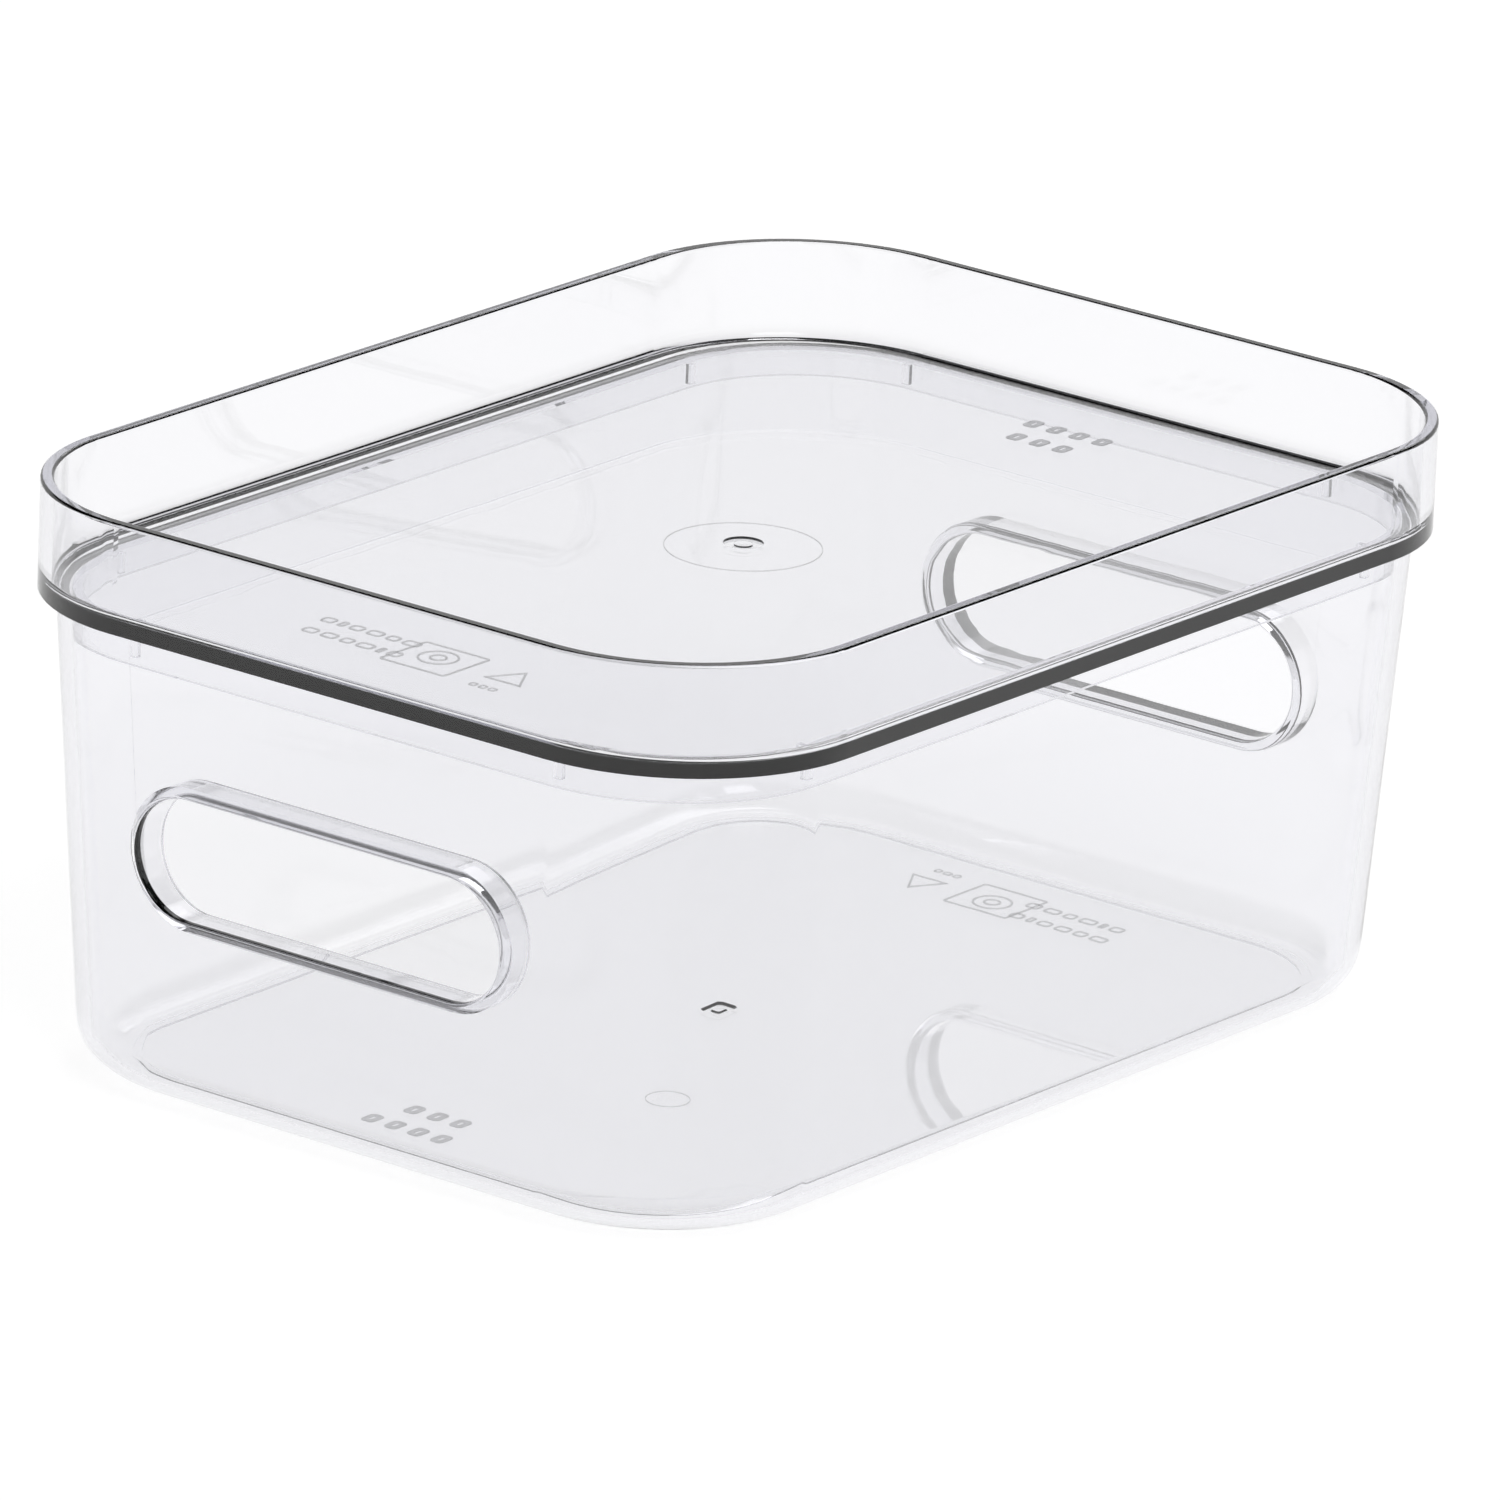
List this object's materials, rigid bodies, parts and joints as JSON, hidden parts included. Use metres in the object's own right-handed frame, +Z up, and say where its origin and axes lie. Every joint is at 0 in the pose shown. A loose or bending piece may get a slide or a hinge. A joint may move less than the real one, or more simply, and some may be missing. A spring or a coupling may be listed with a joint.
{
  "type": "fridge bin with tray lid",
  "caption": "Clear stackable refrigerator bin with a tapered body, a stadium-shaped handle slot in each end wall and a shallow lift-off tray lid on its mouth.",
  "frame": {"origin": "centre of the bin's underside, on the surface it stands on", "axes": "+X along the length toward one handle slot, +Z up toward the tray lid's rim"},
  "size_m": [0.1966, 0.144, 0.0915],
  "materials": {
    "bin_plastic": "clear, polished",
    "lid_plastic": "clear, polished"
  },
  "bodies": {
    "bin": {"bin": "bin_plastic"},
    "lid": {"tray_lid": "lid_plastic"}
  },
  "joints": [
    {"name": "lid_lift", "type": "slide", "parent": "bin", "child": "lid", "axis": [0, 0, 1], "range_m": [0, 0.06]}
  ]
}
